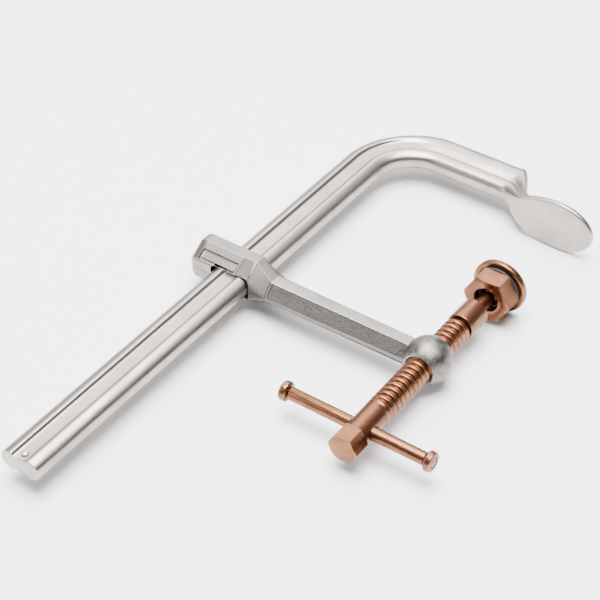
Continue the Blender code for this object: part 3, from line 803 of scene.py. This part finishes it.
def window_tool():
    """The window that the rail runs through."""
    size = sizes()
    near = Vector((-size.throat + WINDOW_GAP, arm_centre_y(), 0))
    far = Vector((-size.throat - size.rail_width - WINDOW_GAP, arm_centre_y(), 0))
    reach = Vector((0, 30 * MM, RAIL_HALF_HEIGHT + WINDOW_GAP))
    return soft_block(far - reach, near + reach, 3.2 * MM)


def key_mesh(side):
    """The key that runs in the rail's groove above or below it."""
    size = sizes()
    middle_x = -size.throat - size.rail_width / 2
    foot, top = sorted((KEY_FOOT * side, KEY_TOP * side))
    start = Vector((middle_x - KEY_HALF_WIDTH, arm_centre_y() - 10 * MM, foot))
    end = Vector((middle_x + KEY_HALF_WIDTH, arm_centre_y() + 10 * MM, top))
    return soft_block(start, end, 0.5 * MM)


def detailed_arm():
    """The arm with its window, keys, bore, panels and recesses."""
    depth = sizes().recess_depth / MM
    mesh = combined(arm_mesh(), window_tool(), "DIFFERENCE")
    bore = shifted(rod(-30 * MM, 30 * MM, BORE_RADIUS, 64), (0, arm_centre_y(), 0))
    mesh = combined(mesh, bore, "DIFFERENCE")
    for side in (1, -1):
        mesh = combined(mesh, key_mesh(side), "UNION")
        mesh = combined(mesh, panel_tool(side), "DIFFERENCE")
        mesh = combined(mesh, recess_tool(side, 8.5, 39.5, 0.08, 0.62, depth), "DIFFERENCE")
        mesh = combined(mesh, recess_tool(side, 10.3, 38, 0.2, 0.5, depth + 1, 0.15), "UNION")
        mesh = combined(mesh, recess_tool(side, 40.3, 50.6, 0.02, 0.98, 0.3, lean=-2), "DIFFERENCE")
    return mesh


def is_creased(spot, normal):
    """Whether a face lies on a facet's edge or on the flash line."""
    x = spot.x - low("sliding_arm").x
    near_head = (HEAD_LENGTH - 0.1) * MM < x < (HEAD_LENGTH + 0.7) * MM
    near_beam = (BEAM_START - 1) * MM < x < (BEAM_START + 0.1) * MM
    flash_line = abs(spot.z) < 0.35 * MM and abs(normal.z) < 0.3 and spot.x < BALL_START_X
    return (near_head or near_beam) and faces_front(normal) or flash_line


def faces_front(normal):
    """Whether a face belongs to the sloping front."""
    return normal.y < -0.3 and abs(normal.z) > 0.4


def skin_share(spot, normal):
    """How grainy a face is: panel floors, recesses and the steep end facets most."""
    x = spot.x - low("sliding_arm").x
    on_head = 8 * MM < x < HEAD_LENGTH * MM
    in_panel = -124.5 * MM < spot.x < -13 * MM and is_sunk(spot)
    if HEAD_LENGTH * MM < x < BEAM_START * MM:
        return SHOULDER_SKIN
    if faces_front(normal) and (in_panel or on_head and x > 39.6 * MM):
        return 1.0
    if faces_front(normal) and on_head:
        return HEAD_SKIN
    return BALL_SKIN if spot.x > BALL_START_X else PLAIN_SKIN


def paint_skin(mesh):
    """Stores how grainy each face is, and marks the ball and the creases."""
    skin = mesh.faces.layers.float.new("skin")
    ball = mesh.faces.layers.float.new("ball")
    crease = mesh.faces.layers.float.new("crease")
    for face in mesh.faces:
        spot = face.calc_center_median()
        face[skin] = skin_share(spot, face.normal)
        face[crease] = 1.0 if is_creased(spot, face.normal) else 0.0
        face[ball] = 0.8 if math.isclose(face[skin], BALL_SKIN, abs_tol=1e-6) else 0.0


def is_sunk(spot):
    """Whether a point of the sloping front lies below its border."""
    side = 1 if spot.z > 0 else -1
    x = spot.x / MM
    local = x - low("sliding_arm").x / MM
    head = local < HEAD_LENGTH + 2
    point, place = (front_point, local) if head else (slope_point, x)
    origin, below = point(place, 0.5, 0, side), point(place, 0.5, 1, side)
    return (spot - origin).dot((below - origin).normalized()) > 0.2 * MM


# The screw, its sleeve and the ball stud

THREAD_STEPS = 64
CREST_RADIUS = 9.5 * MM
PLAIN_RADIUS = 9.3 * MM
RELIEF_RADIUS = 6.7 * MM
HEX_LENGTH = 14 * MM
BODY_LENGTH = 39 * MM
RELIEF_LENGTH = 2.4 * MM
SPRING_PIN_RADIUS = 1.5 * MM
SHANK_RADIUS, GROOVE_RADIUS = 5.5 * MM, 3 * MM
LINER_HOLE = 4 * MM


def thread_outline():
    """One pitch of the thread as (share of the pitch, radius), with a broad rounded crest."""
    deep = sizes().thread_depth
    core = CREST_RADIUS - deep
    heights = [(0, 0), (0.06, 0.04), (0.12, 0.22), (0.17, 0.5), (0.23, 0.8), (0.31, 0.95), (0.4, 1), (0.5, 1)]
    line = [(share, core + height * deep) for share, height in heights]
    return line + [(1 - share, radius) for share, radius in reversed(line[1:-1])] + [(1, core)]


def thread_turns(base, turns):
    """Full turns of the thread from a place on, joined end to end."""
    pitch = sizes().pitch
    line = [(base + share * pitch, radius) for share, radius in thread_outline()]
    mesh = spun(line, THREAD_STEPS, rise=pitch)
    one_turn = mesh.verts[:] + mesh.edges[:] + mesh.faces[:]
    for turn in range(1, turns):
        copied = bmesh.ops.duplicate(mesh, geom=one_turn)["geom"]
        fresh = [item for item in copied if isinstance(item, bmesh.types.BMVert)]
        bmesh.ops.translate(mesh, verts=fresh, vec=(0, turn * pitch, 0))
    bmesh.ops.remove_doubles(mesh, verts=mesh.verts, dist=4e-6)
    return mesh


def thread_mesh(start, end):
    """A right-hand thread that runs out into the plain body, cut off and closed at both ends."""
    pitch = sizes().pitch
    base = (math.floor(start / pitch) - 1.25) * pitch
    mesh = thread_turns(base, int((end - start) / pitch) + 5)
    for vert in mesh.verts:
        radius = math.hypot(vert.co.x, vert.co.z)
        fade = 1 - smoothstep(start, start + 2.2 * pitch, vert.co.y)
        wanted = radius + (max(PLAIN_RADIUS, radius) - radius) * fade
        vert.co.x *= wanted / radius
        vert.co.z *= wanted / radius
    for spot, normal in ((start, (0, -1, 0)), (end, (0, 1, 0))):
        whole = mesh.verts[:] + mesh.edges[:] + mesh.faces[:]
        plane = {"plane_co": (0, spot, 0), "plane_no": normal, "clear_outer": True}
        bmesh.ops.bisect_plane(mesh, geom=whole, dist=1e-7, **plane)
        bmesh.ops.remove_doubles(mesh, verts=mesh.verts, dist=6e-6)
        bmesh.ops.holes_fill(mesh, edges=mesh.edges, sides=0)
    bmesh.ops.recalc_face_normals(mesh, faces=mesh.faces)
    return mesh


def spindle_mesh():
    """The screw: hexagonal end, plain body with its cross hole, thread and relief."""
    start = low("spindle").y
    hex_end = start + HEX_LENGTH
    body_end = start + BODY_LENGTH
    sleeve = low("spindle_sleeve").y
    thread_end = sleeve - RELIEF_LENGTH
    mesh = thread_mesh(body_end - 0.5 * MM, thread_end)
    mesh = combined(mesh, rod(hex_end - 2 * MM, body_end, PLAIN_RADIUS, TURNING_STEPS), "UNION")
    relief = rod(thread_end - 2 * MM, sleeve - SEAT_GAP, RELIEF_RADIUS, TURNING_STEPS)
    mesh = combined(mesh, relief, "UNION")
    mesh = combined(mesh, hexagon(sizes().hex_flats, start, hex_end, 1.5 * MM, 1.0 * MM), "UNION")
    hole = turn_about(bore_with_lips(PLAIN_RADIUS, bar_radius() + 0.4 * MM), "Z", -90)
    return combined(mesh, shifted(hole, (0, middle("tommy_bar").y, 0)), "DIFFERENCE")


def bore_with_lips(reach, radius):
    """A hole about Y through a round bar, eased where it breaks out."""
    line = [(-TOOL_REACH, 0), (-TOOL_REACH, radius + 3.5 * MM)]
    line += [(-reach + 0.2 * MM, radius + 0.6 * MM), (-reach + 0.9 * MM, radius)]
    return turned(line + [(-y, r) for y, r in reversed(line)], steps=64)


def ring_profile(start, end, inner, outer, edge):
    """The closed (y, radius) outline of a ring with rounded outer edges."""
    corners = [(start, inner, 0.15 * MM), (start, outer, edge), (end, outer, edge), (end, inner, 0.15 * MM)]
    return eased(corners, edge, steps=4, closed=True)


def sleeve_mesh():
    """The turned sleeve on the screw's nose, drilled for its pin."""
    start, end = low("spindle_sleeve").y, high("spindle_sleeve").y
    mesh = turned(ring_profile(start, end, SHANK_RADIUS + 0.35 * MM, 10 * MM, 0.8 * MM), closed=True)
    drill = pin_aligned(rod(-TOOL_REACH, TOOL_REACH, SPRING_PIN_RADIUS + 0.15 * MM))
    return combined(mesh, shifted(drill, middle("roll_pin")), "DIFFERENCE")


def pin_aligned(mesh):
    """Lays a mesh made about Y along the spring pin, which runs past the screw's axis."""
    away = middle("roll_pin")
    tilt = math.degrees(math.atan2(away.x, -away.z))
    return turn_about(turn_about(mesh, "Z", 90), "Y", -tilt)


def roll_pin_mesh():
    """The rolled spring pin, with the slot along it."""
    reach = 7.6 * MM
    tube = turned(ring_profile(-reach, reach, 0.8 * MM, SPRING_PIN_RADIUS, 0.25 * MM), closed=True, steps=40)
    start, end = Vector((-0.2 * MM, -reach * 2, 0.2 * MM)), Vector((0.2 * MM, reach * 2, 3 * MM))
    mesh = combined(tube, soft_block(start, end, 0.05 * MM), "DIFFERENCE")
    return shifted(pin_aligned(mesh), middle("roll_pin"))


def ball_centre_y():
    """The middle of the ball in the pad."""
    return high("ball_stud").y - sizes().ball_radius


def stud_mesh():
    """The ball stud: shank with its pin groove, neck and ball."""
    size = sizes()
    pin_y = middle("roll_pin").y
    start, sleeve_end = low("ball_stud").y, high("spindle_sleeve").y
    ball = ball_centre_y()
    groove = 1.9 * MM
    shank, waist = SHANK_RADIUS, GROOVE_RADIUS
    points = [(start, 0), (start, shank, 0.4 * MM), (pin_y - groove, shank), (pin_y - groove, waist)]
    points += [(pin_y + groove, waist), (pin_y + groove, shank), (sleeve_end - 0.4 * MM, shank, 0.3 * MM)]
    points += [(sleeve_end + 0.8 * MM, size.neck_radius, 0.8 * MM)]
    line = eased(points + [(ball - 8 * MM, size.neck_radius)], 0.2 * MM)[:-1]
    join = math.asin(size.neck_radius / size.ball_radius)
    return turned(line + round_line(ball, size.ball_radius, math.pi - join - 0.03, 0, 36))


def liner_mesh():
    """The plastic socket round the ball."""
    ball = ball_centre_y()
    inner = sizes().ball_radius + 0.35 * MM
    outer = inner + 1.7 * MM
    lip = math.acos(LINER_HOLE / outer)
    hollow = math.asin(LINER_HOLE / inner)
    outside = round_line(ball, outer, 0, math.pi - lip, 30)
    return turned(outside + round_line(ball, inner, math.pi / 2 + hollow, 0, 30))


# The swivel pad

COLLAR_RADIUS = 12 * MM
PAD_BORE = 12.3 * MM
NECK_HOLE = 9.2 * MM


def pocket_radius():
    """The hollow round the ball and its liner."""
    return sizes().ball_radius + 2.4 * MM


def pad_body_mesh():
    """The pad's hexagonal half, with the rounded hole that the neck passes through."""
    start = low("pad_body").y
    hex_end = low("pad_ring").y - SEAT_GAP
    mesh = hexagon(sizes().pad_hex_flats, start, hex_end, 2.0 * MM, 1.2 * MM)
    collar = rod(hex_end - 3 * MM, high("pad_body").y, COLLAR_RADIUS, TURNING_STEPS)
    mesh = combined(mesh, collar, "UNION")
    join = math.asin(NECK_HOLE / pocket_radius())
    line = [(start - 2 * MM, 0), (start - 2 * MM, NECK_HOLE + 2.4 * MM), (start, NECK_HOLE + MM)]
    line += [(start + 0.35 * MM, NECK_HOLE + 0.3 * MM), (start + MM, NECK_HOLE)]
    line += round_line(ball_centre_y(), pocket_radius(), math.pi - join, 0, 32)
    return combined(mesh, turned(line), "DIFFERENCE")


def pad_ring_mesh():
    """The rubber ring between the pad's two halves."""
    start, end = low("pad_ring").y, high("pad_ring").y
    return turned(ring_profile(start, end, PAD_BORE, 17 * MM, 1.0 * MM), closed=True)


def pad_face_mesh():
    """The round plate that presses on the work, hollowed for the ball, with a rounded rim."""
    start, end = low("pad_face").y, high("pad_face").y
    rim = (high("pad_face").x - low("pad_face").x) / 2
    ball = ball_centre_y()
    seat = high("pad_body").y + SEAT_GAP
    hollow = round_line(ball, pocket_radius(), 0, math.acos((seat - ball) / pocket_radius()), 12)
    outline = [hollow[-1], (seat, PAD_BORE, 0.1 * MM), (start, PAD_BORE, 0.2 * MM), (start, rim, 1.9 * MM)]
    outline += [(end, rim, 1.6 * MM), (end, rim * 0.5), (end, 0)]
    return turned(hollow[:-1] + eased(outline, 0.3 * MM, steps=6))


# The tommy bar

TENON_LENGTH = 6.3 * MM
TENON_RADIUS = 3.4 * MM
CAP_BORE = 3.7 * MM


def bar_radius():
    """The bar's radius."""
    return (high("tommy_bar").z - low("tommy_bar").z) / 2


def bar_mesh():
    """The bar with its stepped ends."""
    half = (high("tommy_bar").x - low("tommy_bar").x) / 2
    shoulder = half - TENON_LENGTH
    line = [(half, 0), (half, 2.6 * MM, 0.5 * MM), (half - 0.5 * MM, TENON_RADIUS, 0.3 * MM)]
    line += [(shoulder, TENON_RADIUS, 0.1 * MM), (shoulder, bar_radius(), 0.3 * MM)]
    line += [(-y, *rest) for y, *rest in reversed(line)]
    return shifted(turn_about(turned(eased(line, 0.3 * MM)), "Z", -90), middle("tommy_bar"))


def cap_mesh(node, side):
    """A rounded end cap, with a small fillet where the bar enters it."""
    start, end = low(node).x, high(node).x
    span = end - start
    rim = (high(node).z - low(node).z) / 2
    outline = [(0, CAP_BORE, 0.1 * MM), (0, rim - 1.6 * MM, 0.5 * MM), (0.9 * MM, rim, 0.8 * MM)]
    outline += [(span, rim, 1.5 * MM), (span, 4.6 * MM, 0.2 * MM), (span - 0.45 * MM, 4.3 * MM, 0.2 * MM)]
    outline += [(span - 0.45 * MM, CAP_BORE, 0.1 * MM)]
    cap = turned(eased(outline, 0.3 * MM, steps=5, closed=True), closed=True)
    cap = turn_about(cap, "Z", -90 if side > 0 else 90)
    return shifted(cap, Vector((start if side > 0 else end, middle(node).y, middle(node).z)))


def stop_pin_mesh():
    """The stop pin, domed a little at both ends."""
    half = (high("stop_pin").z - low("stop_pin").z) / 2
    line = [(half, 0), (half - 0.05 * MM, 1.2 * MM, 0.5 * MM), (half - 0.3 * MM, 2.1 * MM, 0.3 * MM)]
    line += [(half - 0.9 * MM, STOP_PIN_RADIUS)]
    line += [(-y, *rest) for y, *rest in reversed(line)]
    return shifted(turn_about(turned(eased(line, 0.3 * MM)), "X", 90), middle("stop_pin"))


# Operators


class CLAMP_OT_rail(bpy.types.Operator):
    """Builds the rail with its fixed jaw and its stop pin"""

    bl_idname = "clamp.rail"
    bl_label = "Rail and stop pin"

    def execute(self, context):
        finished("rail_and_jaw", rail_mesh(), plated_steel(), "rail", ["rail_with_fixed_jaw"])
        finished("stop_pin_head", stop_pin_mesh(), pin_steel(), "rail", ["stop_pin"])
        return {"FINISHED"}


class CLAMP_OT_arm(bpy.types.Operator):
    """Builds the forged sliding arm"""

    bl_idname = "clamp.arm"
    bl_label = "Sliding arm"

    def execute(self, context):
        mesh = detailed_arm()
        paint_skin(mesh)
        finished("forged_arm", mesh, forged_steel(), "sliding_arm", ["sliding_arm"])
        return {"FINISHED"}


class CLAMP_OT_screw(bpy.types.Operator):
    """Builds the screw with its sleeve, its pin and the ball stud"""

    bl_idname = "clamp.screw"
    bl_label = "Screw, sleeve and ball stud"

    def execute(self, context):
        # fresh=0.9 paints strong shade into the thread's roots.
        steel = coppered("coppered_screw", (400, 2600, 400), fresh=0.9)
        finished("screw", spindle_mesh(), steel, "spindle", ["spindle"])
        sleeve = coppered("coppered_sleeve", (300, 3000, 300))
        finished("screw_sleeve", sleeve_mesh(), sleeve, "spindle", ["spindle_sleeve"])
        pin = dark_finish("dark_spring_steel", colours().pin, 0.36, 1.0)
        finished("spring_pin", roll_pin_mesh(), pin, "spindle", ["roll_pin"])
        stud = coppered("coppered_stud", (300, 3000, 300), dull=0.6)
        finished("stud", stud_mesh(), stud, "ball_stud", ["ball_stud"])
        return {"FINISHED"}


class CLAMP_OT_pad(bpy.types.Operator):
    """Builds the swivel pad with its ring and the socket liner"""

    bl_idname = "clamp.pad"
    bl_label = "Swivel pad"

    def execute(self, context):
        black = dark_finish("black_plastic", colours().rubber, 0.4, 0.0)
        finished("liner", liner_mesh(), black, "socket_liner", ["socket_liner"])
        body = coppered("coppered_pad", (500, 1500, 500))
        finished("pad_nut", pad_body_mesh(), body, "swivel_pad", ["pad_body"])
        rubber = dark_finish("black_rubber", colours().rubber, 0.6, 0.0)
        finished("pad_washer", pad_ring_mesh(), rubber, "swivel_pad", ["pad_ring"])
        face = coppered("coppered_pad_face", (300, 2600, 300))
        finished("pad_plate", pad_face_mesh(), face, "swivel_pad", ["pad_face"])
        return {"FINISHED"}


class CLAMP_OT_bar(bpy.types.Operator):
    """Builds the tommy bar and its two end caps"""

    bl_idname = "clamp.bar"
    bl_label = "Tommy bar"

    def execute(self, context):
        steel = coppered("coppered_bar", (120, 1600, 1600))
        finished("cross_bar", bar_mesh(), steel, "tommy_bar", ["tommy_bar"])
        cap = coppered("coppered_cap", (2400, 400, 400), dull=0.6)
        for side, hand in ((-1, "left"), (1, "right")):
            node = "tommy_bar_cap_" + hand
            finished("bar_end_" + hand, cap_mesh(node, side), cap, "tommy_bar", [node])
        return {"FINISHED"}


class CLAMP_OT_stage(bpy.types.Operator):
    """Sets the floor, the lights and the camera"""

    bl_idname = "clamp.stage"
    bl_label = "Stage"

    def execute(self, context):
        build_floor()
        build_lights()
        build_camera()
        return {"FINISHED"}


def build_floor():
    """A plain pale floor just under the clamp."""
    mesh = bmesh.new()
    bmesh.ops.create_grid(mesh, x_segments=1, y_segments=1, size=8)
    floor = as_object("floor", shifted(mesh, (0, 0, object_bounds()[0][2] - 0.2 * MM)))
    paint = Finish("floor")
    paint.shader.inputs["Base Color"].default_value = (*colours().floor, 1)
    paint.shader.inputs["Roughness"].default_value = 0.7
    paint.shader.inputs["Specular IOR Level"].default_value = 0.2
    floor.data.materials.append(paint.material)
    floor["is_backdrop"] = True


def area_light(name, place, target, size, watts):
    """A soft rectangular light aimed at a point."""
    light = bpy.data.lights.new(name, "AREA")
    light.shape = "RECTANGLE"
    light.size, light.size_y = size
    light.energy = watts
    lamp = bpy.data.objects.new(name, light)
    lamp.location = place
    lamp.rotation_euler = (Vector(target) - Vector(place)).to_track_quat("-Z", "Y").to_euler()
    bpy.context.scene.collection.objects.link(lamp)


def build_lights():
    """A studio brighter behind and above than in front, lit from above and from the left."""
    world = bpy.data.worlds.new("studio")
    world.use_nodes = True
    tree = world.node_tree
    backdrop = tree.nodes["Background"]
    backdrop.inputs["Strength"].default_value = 1.0
    place = tree.nodes.new("ShaderNodeTexCoord")
    aim = tree.nodes.new("ShaderNodeVectorMath")
    aim.operation = "DOT_PRODUCT"
    aim.inputs[1].default_value = Vector((-0.5, 0.55, 0.66)).normalized()
    tree.links.new(place.outputs["Generated"], aim.inputs[0])
    ramp = tree.nodes.new("ShaderNodeValToRGB")
    tree.links.new(aim.outputs["Value"], ramp.inputs["Fac"])
    dark, bright = (0.1, 0.095, 0.09, 1), (0.85, 0.85, 0.85, 1)
    for stop, place, colour in zip(ramp.color_ramp.elements, (0, 0.85), (dark, bright)):
        stop.position, stop.color = place, colour
    tree.links.new(ramp.outputs["Color"], backdrop.inputs["Color"])
    bpy.context.scene.world = world
    centre = (-0.09, -0.18, 0)
    area_light("overhead", (-0.1, -0.2, 2.2), centre, (1.7, 1.7), 260)
    area_light("back_left", (-1.1, 1.2, 1.5), centre, (1.8, 1.4), 45)
    area_light("front_left", (-1.3, -1.2, 0.7), centre, (0.9, 0.5), 12)


def build_camera():
    """A long lens above the free end, looking down the rail."""
    lens = bpy.data.cameras.new("camera")
    lens.lens = 107.04
    lens.sensor_width = 36
    camera = bpy.data.objects.new("camera", lens)
    place = Vector((0.43222, -0.93973, 0.80072))
    target = Vector((-0.10467, -0.17439, 0))
    camera.location = place
    turn = (target - place).to_track_quat("-Z", "Y").to_matrix()
    camera.rotation_euler = (turn @ Matrix.Rotation(math.radians(0.22), 3, "Z")).to_euler()
    bpy.context.scene.collection.objects.link(camera)
    bpy.context.scene.camera = camera


class CLAMP_PT_panel(bpy.types.Panel):
    """Lists the clamp's sizes, colours and building steps"""

    bl_idname = "CLAMP_PT_panel"
    bl_label = "F clamp"
    bl_space_type = "VIEW_3D"
    bl_region_type = "UI"
    bl_category = "F clamp"

    def draw(self, context):
        layout = self.layout
        for step in STEPS:
            layout.operator(step.bl_idname)
        for group in (context.scene.clamp_sizes, context.scene.clamp_colours):
            for name in group.__annotations__:
                layout.prop(group, name)


STEPS = (CLAMP_OT_rail, CLAMP_OT_arm, CLAMP_OT_screw, CLAMP_OT_pad, CLAMP_OT_bar, CLAMP_OT_stage)
CLASSES = (ClampSizes, ClampColours, *STEPS, CLAMP_PT_panel)


def register():
    """Adds the classes and their settings."""
    for item in CLASSES:
        bpy.utils.register_class(item)
    bpy.types.Scene.clamp_sizes = PointerProperty(type=ClampSizes)
    bpy.types.Scene.clamp_colours = PointerProperty(type=ClampColours)


def unregister():
    """Takes them out again."""
    del bpy.types.Scene.clamp_sizes
    del bpy.types.Scene.clamp_colours
    for item in reversed(CLASSES):
        bpy.utils.unregister_class(item)


def main():
    """Builds everything."""
    register()
    for step in STEPS:
        group, name = step.bl_idname.split(".")
        getattr(getattr(bpy.ops, group), name)()


if __name__ == "__main__":
    main()
